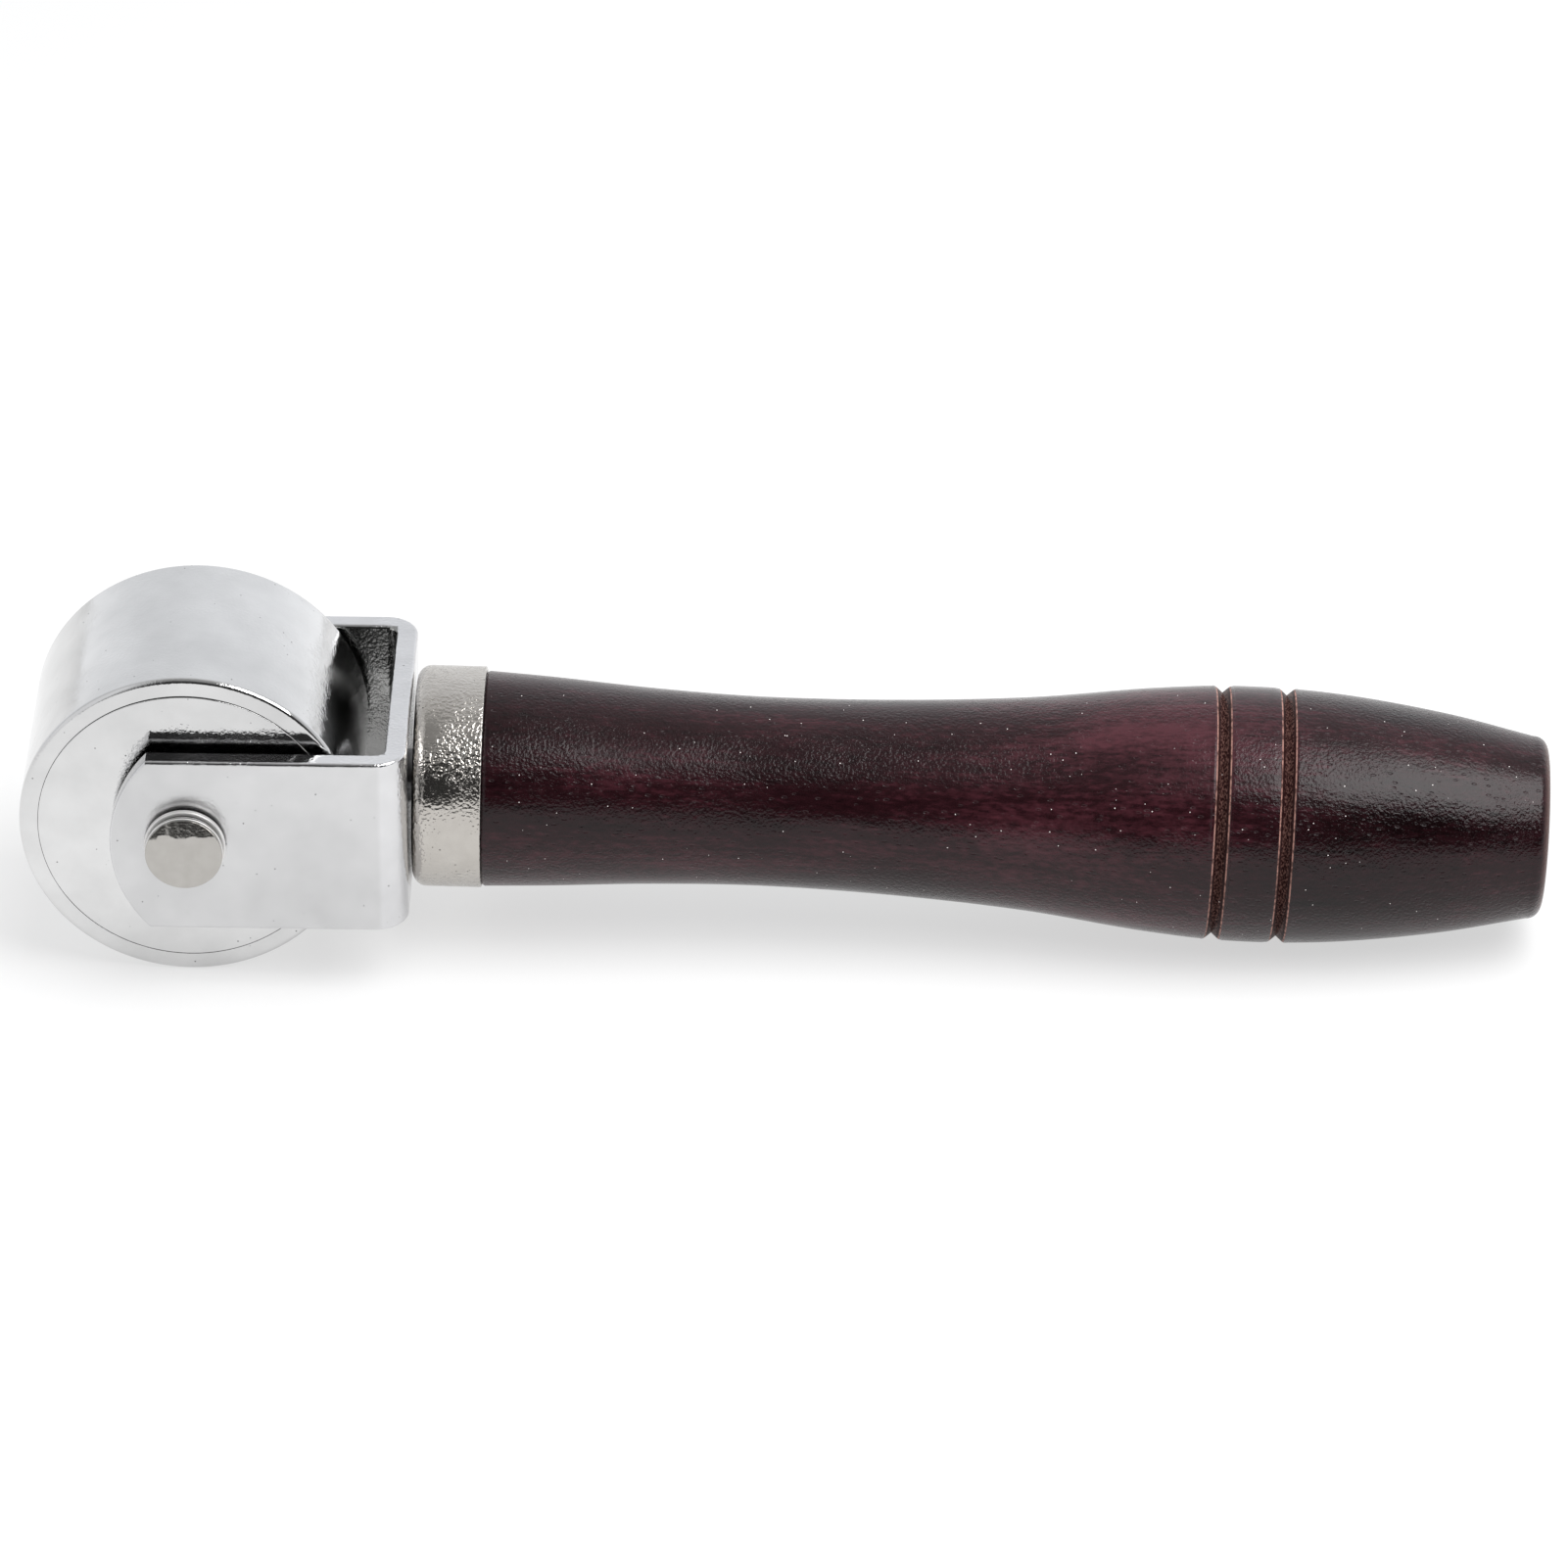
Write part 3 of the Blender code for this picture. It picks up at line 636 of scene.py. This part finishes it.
def rippled_nickel():
    """Warm nickel plate over a drawn cup, crinkled like orange peel in places, with dark specks."""
    material, tree, shader = new_material("ferrule_nickel")
    local = placed(tree, FERRULE_AXIS)
    mottle = noise_of(tree, local, 420, 3)
    amount = mapped(tree, noise_of(tree, local, 150, 2), 0.36, 0.56, 0.35, 1.0)
    ripples = math_node(tree, "MULTIPLY", noise_of(tree, local, 2700, 1), amount)
    specks = sparse_dots(tree, local, 1100, 0.12, 330, 1, 0.47, 0.55)
    uneven = noise_of(tree, local, 420, 2)
    inputs = {
        "Base Color": mixed(tree, specks, mixed(tree, mottle, *FERRULE_NICKEL), FERRULE_SPECK),
        "Metallic": 1.0,
        "Roughness": mapped(tree, mottle, 0.3, 0.7, 0.12, 0.18),
        "Normal": bumped(tree, (uneven, 0.012 * MM), (ripples, 0.15 * MM)),
    }
    fill(tree, shader, inputs)
    return material


def steel(name, color, roughness):
    """Ground bearing or plain steel with a fine grain."""
    material, tree, shader = new_material(name)
    fine = noise_of(tree, placed(tree, ROLLER_AXIS), 2400, 3)
    inputs = {
        "Base Color": mixed(tree, fine, tuple(0.85 * c for c in color), color),
        "Metallic": 1.0,
        "Roughness": mapped(tree, fine, 0.3, 0.7, roughness * 0.8, roughness * 1.2),
        "Normal": bumped(tree, (fine, 0.001 * MM)),
    }
    fill(tree, shader, inputs)
    return material


def stained_wood():
    """Dark red-brown stain under lacquer: grain and pores along the handle, bare wood at its cut edges."""
    material, tree, shader = new_material("stained_wood")
    local = placed(tree, HANDLE_AXIS)
    along = separated(tree, local)["Z"]
    streaks = grain(tree, (1300, 1300, 60), 4, 0.6)
    clouds = grain(tree, (130, 130, 30), 3)
    fibres = grain(tree, (3200, 3200, 160), 2)
    pores = dots(tree, placed(tree, HANDLE_AXIS, (1500, 1500, 600)), 1, 0.22)
    # Pale dots, partly dust and partly painted glints
    dust_and_glints = sparse_dots(tree, local, 760, 0.055, 110, 1, 0.42, 0.44)
    thickness = mapped(tree, grain(tree, (140, 140, 60), 2), 0.38, 0.6, 0.3, 1.0)
    orange_peel = math_node(tree, "MULTIPLY", noise_of(tree, local, 2900, 2), thickness)
    bare, scraped = cut_edges(tree, along)
    stain = ramp(tree, stain_tone(tree, along, streaks, clouds), STAIN)
    color = mixed(tree, bare, stain, mixed(tree, scraped, BARE_WOOD, SCRAPED_WOOD))
    inputs = {
        "Base Color": mixed(tree, dust_and_glints, color, DUST_AND_GLINTS),
        "Roughness": mapped(tree, streaks, 0.3, 0.7, 0.42, 0.56),
        "Specular IOR Level": 0.0,
        "Coat Weight": mapped(tree, bare, 0, 1, 1.0, 0.3),
        "Coat Roughness": mapped(tree, clouds, 0.3, 0.7, 0.15, 0.24),
        "Coat IOR": 1.37,
        "Normal": bumped(tree, (streaks, 0.01 * MM), (fibres, 0.004 * MM), (pores, -0.008 * MM)),
        "Coat Normal": bumped(tree, (streaks, 0.01 * MM), (orange_peel, 0.1 * MM), (pores, -0.03 * MM)),
    }
    fill(tree, shader, inputs)
    return material


def grain(tree, scale, detail, roughness=0.5):
    """Noise in the handle's own axes, stretched along it."""
    return noise_of(tree, placed(tree, HANDLE_AXIS, scale), 1, detail, roughness)


def stain_tone(tree, along, streaks, clouds):
    """The stain's place on its ramp: redder over the bulge, and darkest behind the grooves."""
    warmer = mapped(tree, along, 55 * MM, 75 * MM, -0.02, 0.055)
    darker = mapped(tree, along, 84 * MM, 100 * MM, 0, -0.12)
    tone = math_node(tree, "ADD", warmer, darker)
    flecks = grain(tree, (2400, 2400, 800), 2, 0.6)
    for part, share in ((streaks, 0.24), (clouds, 0.44), (flecks, 0.32)):
        tone = math_node(tree, "MULTIPLY_ADD", part, share, tone)
    return tone


def cut_edges(tree, along):
    """How bare the wood is in the V grooves and round the butt, and how scraped: at lips and in specks."""
    rim = HANDLE_LENGTH - BUTT_ROUNDING
    bare = mapped(tree, along, rim + 0.5 * BUTT_ROUNDING, HANDLE_LENGTH, 0.0, 0.35)
    scraped = mapped(tree, along, rim, rim + 0.5 * BUTT_ROUNDING, 0.0, 0.6)
    specks = mapped(tree, grain(tree, (3500, 3500, 7000), 2), 0.45, 0.62)
    chipped = mapped(tree, noise_of(tree, placed(tree, HANDLE_AXIS), 1600, 2), 0.38, 0.55, 0.25, 1.0)
    for groove in GROOVES:
        distance = math_node(tree, "ABSOLUTE", math_node(tree, "SUBTRACT", along, groove))
        inside = mapped(tree, distance, GROOVE_HALF_WIDTH * 1.02, GROOVE_HALF_WIDTH * 0.92)
        lip = mapped(tree, distance, GROOVE_HALF_WIDTH * 0.74, GROOVE_HALF_WIDTH * 0.86)
        middle = mapped(tree, distance, GROOVE_HALF_WIDTH * 0.6, GROOVE_HALF_WIDTH * 0.45, 0.0, 0.24)
        chips = math_node(tree, "MULTIPLY", lip, chipped)
        shown = math_node(tree, "MAXIMUM", math_node(tree, "MULTIPLY", specks, middle), chips)
        bare = math_node(tree, "MAXIMUM", bare, inside)
        scraped = math_node(tree, "MAXIMUM", scraped, math_node(tree, "MULTIPLY", inside, shown))
    return bare, scraped


# ---------------------------------------------------------------- pieces


def make_tube(material):
    """The roller's tube, its rims well rounded outside and barely inside."""
    inner = ROLLER_RADIUS - TUBE_WALL
    centre = (ROLLER_RADIUS - TUBE_ROUNDING, HALF_WIDTH - TUBE_ROUNDING)
    edge = arc(centre, TUBE_ROUNDING, 0, 90, TUBE_EDGE_SEGMENTS)
    lip = arc((inner + TUBE_LIP, HALF_WIDTH - TUBE_LIP), TUBE_LIP, 90, 180)
    outline = braced(edge + lip + mirrored(edge + lip), closed=True)
    mesh = turned("chrome_tube", outline, ROLLER_STEPS, ROLLER_AXIS)
    new_piece("chrome_tube", mesh, material, "roller", "chrome_roller", "roller_tube")


def settled(position):
    """The cap's rim stands back a little from the tube on one side, so that the seam is widest there."""
    radius = math.hypot(position.x, position.y)
    if radius < CAP_POCKET_RADIUS + POCKET_MARGIN:
        return position
    aside = (1 - position.y / radius) / 2
    factor = 1 - SEAM_OPENING * aside**SEAM_FADE / radius
    return Vector((position.x * factor, position.y * factor, position.z))


def make_cap(side, sign, material):
    """The disc pressed into one end of the tube, with its bearing's pocket."""
    radius = ROLLER_RADIUS - TUBE_WALL - CAP_GAP
    lip = arc((radius - CAP_LIP, HALF_WIDTH - CAP_LIP), CAP_LIP, 0, 90)
    pocket_floor = HALF_WIDTH - CAP_POCKET_DEPTH
    back = HALF_WIDTH - CAP_THICKNESS
    outline = lip + [
        (CAP_POCKET_RADIUS, HALF_WIDTH),
        (CAP_POCKET_RADIUS, pocket_floor),
        (CAP_BORE_RADIUS, pocket_floor),
        (CAP_BORE_RADIUS, back),
        (radius, back),
    ]
    outline = braced([(reach, sign * height) for reach, height in outline], closed=True)
    mesh = turned(f"end_cap_{side}", outline, ROLLER_STEPS, ROLLER_AXIS, warp=settled)
    new_piece(f"end_cap_{side}", mesh, material, "roller", "chrome_roller", f"roller_cap_{side}")


def fork_plan():
    """The U of the fork seen from above: outer side, then inner side."""
    open_end = FORK_LOW.x - STRIP_THICKNESS
    points = []
    for depth, bend in ((0, FORK_BEND_RADIUS + STRIP_THICKNESS), (STRIP_THICKNESS, FORK_BEND_RADIUS)):
        half_width, reach = FORK_HALF_WIDTH - depth, FORK_HIGH.x - depth
        side = [(open_end, -half_width)]
        side += arc((reach - bend, bend - half_width), bend, -90, 0, FORK_BEND_SEGMENTS)
        side += arc((reach - bend, half_width - bend), bend, 0, 90, FORK_BEND_SEGMENTS)
        side += [(open_end, half_width)]
        points += reversed(side) if depth else side
    return points


def fork_side():
    """The rounded tip and the straight edges of the strip seen from the side."""
    centre = (FORK_LOW.x + FORK_TIP_RADIUS, FORK_MIDDLE_HEIGHT)
    spread = math.degrees(math.asin(STRIP_HALF_HEIGHT / FORK_TIP_RADIUS))
    back = FORK_HIGH.x + STRIP_THICKNESS
    corners = [(back, FORK_LOW.z), (back, FORK_HIGH.z)]
    return arc(centre, FORK_TIP_RADIUS, 180 - spread, 180 + spread, FORK_TIP_SEGMENTS) + corners


def fork_holes():
    """Cutters for the pin's holes, and for the screw's hole with its countersink on the fork's inner face."""
    across = [(PIN_HOLE_RADIUS, -2 * FORK_HALF_WIDTH), (PIN_HOLE_RADIUS, 2 * FORK_HALF_WIDTH)]
    depth = COUNTERSINK_RADIUS - SCREW_HOLE_RADIUS
    countersunk = [
        (COUNTERSINK_RADIUS + depth, -STRIP_THICKNESS - depth),
        (SCREW_HOLE_RADIUS, -STRIP_THICKNESS + depth),
        (SCREW_HOLE_RADIUS, 2 * STRIP_THICKNESS),
    ]
    return (
        drill("pin_hole", across, PIN_HOLE_STEPS, ROLLER_AXIS),
        drill("screw_hole", countersunk, SCREW_HOLE_STEPS, HANDLE_AXIS),
    )


def make_fork(material):
    """One strip bent into a U, its edges rounded, with holes for the pin and the screw."""
    fork = prism("fork_strip", fork_plan(), FORK_LOW.z - STRIP_THICKNESS, FORK_HIGH.z + STRIP_THICKNESS, True)
    side = prism("fork_side", fork_side(), -2 * FORK_HALF_WIDTH, 2 * FORK_HALF_WIDTH, False)
    cut(fork, side, "INTERSECT")
    bevel = fork.modifiers.new("edges", "BEVEL")
    bevel.width = FORK_EDGE_ROUNDING
    bevel.segments = FORK_EDGE_SEGMENTS
    bevel.limit_method = "ANGLE"
    bevel.angle_limit = FORK_EDGE_ANGLE
    cutters = fork_holes()
    for cutter in cutters:
        cut(fork, cutter)
    mesh = baked(fork, side, *cutters)
    piece = new_piece("bent_fork", mesh, material, "fork_and_handle", "chrome_fork", "fork")
    flat = piece.modifiers.new("flat_faces", "WEIGHTED_NORMAL")
    flat.keep_sharp = True
    flat.weight = 100


def peened(position):
    """The pin's near end hammered back a little in its upper part, with a ragged border."""
    depth = PIN_END + position.z
    if depth > PEEN_DEPTH:
        return position
    ragged = noise.noise(Vector((position.x * PEEN_RAGGED_SCALE, 0, 0))) * PEEN_RAGGEDNESS
    notch = NOTCH_DEPTH * math.exp(-(((position.x + NOTCH_PLACE) / NOTCH_WIDTH) ** 2))
    above = max(0.0, -position.y - PEEN_START + ragged + notch)
    push = above * PEEN_SLOPE * (1 - depth / PEEN_DEPTH)
    return Vector((position.x, position.y, position.z + push))


def make_pin(material):
    """A shank that ends in a stack of worn rings outside each side of the fork."""
    end_radius = PIN_RINGS[0][0]
    upper = [(end_radius * i / PIN_FACE_RINGS, PIN_END) for i in range(PIN_FACE_RINGS - 2)]
    for radius, start, end in PIN_RINGS:
        low, high = FORK_HALF_WIDTH + start, FORK_HALF_WIDTH + end
        r = min(PIN_ROUNDING, (high - low) / 2)
        if radius != end_radius:
            upper.append((PIN_NECK_RADIUS, high))
        upper += arc((radius - r, high - r), r, 90, 0, PIN_EDGE_SEGMENTS)
        upper += arc((radius - r, low + r), r, 0, -90, PIN_EDGE_SEGMENTS)
        upper.append((PIN_NECK_RADIUS, low))
    upper += [(PIN_NECK_RADIUS, FORK_HALF_WIDTH), (PIN_RADIUS, FORK_HALF_WIDTH - STRIP_THICKNESS)]
    outline = braced(upper + mirrored(upper), closed=False)
    mesh = turned("peened_pin", outline, PIN_STEPS, ROLLER_AXIS, closed=False, warp=peened)
    new_piece("peened_pin", mesh, material, "fork_and_handle", "nickel_pin", "axle_pin")


def make_ferrule(material):
    """A drawn cup over the handle's front end, with a hole for the screw."""
    inner = FERRULE_RADIUS - FERRULE_WALL
    rim = FERRULE_WALL / 3
    outline = arc((FERRULE_RADIUS - rim, FERRULE_END - rim), rim, 90, 0)
    centre = (FERRULE_RADIUS - FERRULE_CORNER, FERRULE_START + FERRULE_CORNER)
    outline += arc(centre, FERRULE_CORNER, 0, -90, FERRULE_OUTER_SEGMENTS)
    outline += [(SCREW_HOLE_RADIUS, FERRULE_START), (SCREW_HOLE_RADIUS, FERRULE_START + FERRULE_WALL)]
    outline += arc(centre, FERRULE_CORNER - FERRULE_WALL, -90, 0, FERRULE_INNER_SEGMENTS)
    outline += arc((inner + rim, FERRULE_END - rim), rim, 180, 90)
    mesh = turned("drawn_ferrule", braced(outline, closed=True), HANDLE_STEPS, FERRULE_AXIS)
    new_piece("drawn_ferrule", mesh, material, "fork_and_handle", "nickel_ferrule", "ferrule")


def with_grooves(curve):
    """The handle's curve with a round-lipped V cut in it at each groove."""
    clear = GROOVE_HALF_WIDTH + 2 * GROOVE_LIP
    points = [p for p in curve if all(abs(p[0] - g) > clear for g in GROOVES)]
    for groove in GROOVES:
        near = min(curve, key=lambda p: abs(p[0] - groove))[1]
        for i in range(-GROOVE_SEGMENTS, GROOVE_SEGMENTS + 1):
            offset = clear * i / GROOVE_SEGMENTS
            slope = (GROOVE_HALF_WIDTH - abs(offset)) / GROOVE_HALF_WIDTH
            rounding = math.sqrt(slope * slope + GROOVE_SOFTNESS)
            depth = GROOVE_DEPTH * (slope + rounding) / 2
            points.append((groove + offset, near - depth))
    return sorted(points)


def lacquered(position):
    """Slightly uneven wood, never proud of its drawn size, whose shoulder follows the ferrule's lean."""
    radius = math.hypot(position.x, position.y)
    if radius < CORE_RADIUS or position.z > HANDLE_LENGTH - BUTT_ROUNDING:
        return position
    wave = noise.noise(position * Vector(UNEVEN_SCALE))
    factor = 1 + UNEVENNESS * (wave - 1) / radius
    lean = max(0.0, min(1.0, (LEAN_END - position.z) / (LEAN_END - SHOULDER)))
    slope = math.tan(HANDLE_TILT - math.pi / 2 - FERRULE_DROOP)
    return Vector((position.x * factor, position.y * factor, position.z + lean * slope * position.x))


def make_handle(material):
    """The turned wood, with a tenon inside the ferrule and a blind bore for the screw."""
    butt_radius = HANDLE_SHAPE[-1][1] - BUTT_ROUNDING
    grip = with_grooves(smooth_curve(HANDLE_SHAPE, CURVE_SPACING))
    outline = [(0, HANDLE_LENGTH)]
    outline += arc((butt_radius, HANDLE_LENGTH - BUTT_ROUNDING), BUTT_ROUNDING, 90, 0, BUTT_SEGMENTS)
    outline += [(radius, along) for along, radius in reversed(grip[:-1])]
    outline += [
        (HANDLE_SHAPE[0][1] - SHOULDER_EDGE, SHOULDER),
        (TENON_RADIUS, SHOULDER),
        (TENON_RADIUS, TENON_START + TENON_CHAMFER),
        (TENON_RADIUS - TENON_CHAMFER, TENON_START),
        (SCREW_HOLE_RADIUS, TENON_START),
        (SCREW_HOLE_RADIUS, BORE_DEPTH),
        (0, BORE_DEPTH),
    ]
    outline = braced(outline, closed=False, reach=2 * MM)
    mesh = turned("turned_handle", outline, HANDLE_STEPS, HANDLE_AXIS, closed=False, warp=lacquered)
    new_piece("turned_handle", mesh, material, "fork_and_handle", "stained_wood", "wooden_handle")


def finish_hidden_steel():
    """The bearings, washers and screw keep their CAD shapes and get their steels."""
    bearing = steel("bearing_steel", BEARING_STEEL, 0.22)
    plain = steel("plain_steel", PLAIN_STEEL, 0.35)
    for name, node in frame["nodes"].items():
        if not node.hide_render:
            node.data.materials.clear()
            node.data.materials.append(bearing if name.startswith("bearing") else plain)


# ---------------------------------------------------------------- stage


def make_camera():
    """A long lens, level but for a small roll, that looks down at the tool from its front side."""
    turn = Matrix.Rotation(CAMERA_YAW, 3, "Z")
    right = turn @ Vector((1, 0, 0))
    up = turn @ Vector((0, math.sin(CAMERA_ELEVATION), math.cos(CAMERA_ELEVATION)))
    forward = turn @ Vector((0, math.cos(CAMERA_ELEVATION), -math.sin(CAMERA_ELEVATION)))
    x_axis = math.cos(CAMERA_ROLL) * right + math.sin(CAMERA_ROLL) * up
    y_axis = math.cos(CAMERA_ROLL) * up - math.sin(CAMERA_ROLL) * right
    aim = ROLLER_CENTRE + AIM_RIGHT * x_axis - AIM_DOWN * y_axis
    place = Matrix((x_axis, y_axis, -forward)).transposed().to_4x4()
    place.translation = aim - CAMERA_DISTANCE * forward
    data = bpy.data.cameras.new("camera")
    data.lens = CAMERA_LENS
    data.sensor_width = CAMERA_SENSOR
    data.clip_start, data.clip_end = CAMERA_CLIP
    camera = bpy.data.objects.new("camera", data)
    camera.matrix_world = place
    bpy.context.scene.collection.objects.link(camera)
    bpy.context.scene.camera = camera


def make_floor():
    """A plain, pale table, lit from below as a light table is, so that shadows on it stay faint."""
    bpy.ops.mesh.primitive_plane_add(size=FLOOR_SIZE, location=(0, 0, CAD_BOX[0].z - FLOOR_GAP))
    floor = bpy.context.object
    floor.name = "floor"
    material, tree, shader = new_material("floor")
    inputs = {
        "Base Color": FLOOR_COLOR,
        "Roughness": 0.9,
        "Specular IOR Level": 0.0,
        "Emission Color": (1.0, 1.0, 1.0, 1.0),
        "Emission Strength": FLOOR_GLOW,
    }
    fill(tree, shader, inputs)
    floor.data.materials.append(material)


def make_world():
    """A studio: dark on the camera's side above the table, grey overhead, bright behind and at the sides."""
    world = bpy.data.worlds.new("studio")
    bpy.context.scene.world = world
    world.use_nodes = True
    tree = world.node_tree
    axes = separated(tree, add(tree, "ShaderNodeTexCoord").outputs["Generated"])
    toward = math_node(tree, "MULTIPLY", axes["Y"], -1)
    angle = math_node(tree, "DIVIDE", math_node(tree, "ARCTAN2", axes["Z"], toward), math.pi)
    slant = mapped(tree, axes["X"], -0.5, 0.5, 0.96, 1.09)
    arch = times(tree, ramp(tree, angle, SKY), slant)
    left = mapped(tree, axes["X"], -0.25, -0.55)
    right = mapped(tree, axes["X"], 0.75, 0.97)
    front = mapped(tree, angle, 0.62, 0.5)
    aside = math_node(tree, "MULTIPLY", math_node(tree, "MAXIMUM", left, right), front)
    fill(tree, tree.nodes["Background"], {"Color": mixed(tree, aside, arch, SIDE_GLOW)})


def make_softbox(name, direction, distance, size, radiance, in_gloss):
    """A soft rectangular light that looks at the tool's middle from a direction, seen in gloss or not."""
    width, height = size
    data = bpy.data.lights.new(name, "AREA")
    data.shape = "RECTANGLE"
    data.size = width
    data.size_y = height
    data.energy = radiance * math.pi * width * height
    lamp = bpy.data.objects.new(name, data)
    back = Vector(direction).normalized()
    side = Vector((0, 1, 0)).cross(back).normalized()
    turn = Matrix((side, back.cross(side), back)).transposed().to_4x4()
    middle = (CAD_BOX[0] + CAD_BOX[1]) / 2
    lamp.matrix_world = Matrix.Translation(middle + distance * back) @ turn
    lamp.visible_glossy = in_gloss
    bpy.context.scene.collection.objects.link(lamp)


def main():
    make_camera()
    roller_chrome = chrome("roller_chrome", ROLLER_AXIS, roller_zones, TURNING_MARKS)
    fork_chrome = chrome("fork_chrome", Matrix.Translation(ROLLER_CENTRE), fork_zones)
    make_tube(roller_chrome)
    for side, sign in (("front", -1), ("rear", 1)):
        make_cap(side, sign, roller_chrome)
    make_fork(fork_chrome)
    make_pin(peened_nickel())
    make_ferrule(rippled_nickel())
    make_handle(stained_wood())
    finish_hidden_steel()
    make_floor()
    make_world()
    for softbox in SOFTBOXES:
        make_softbox(*softbox)
    bpy.context.scene.view_settings.view_transform = "Standard"


main()
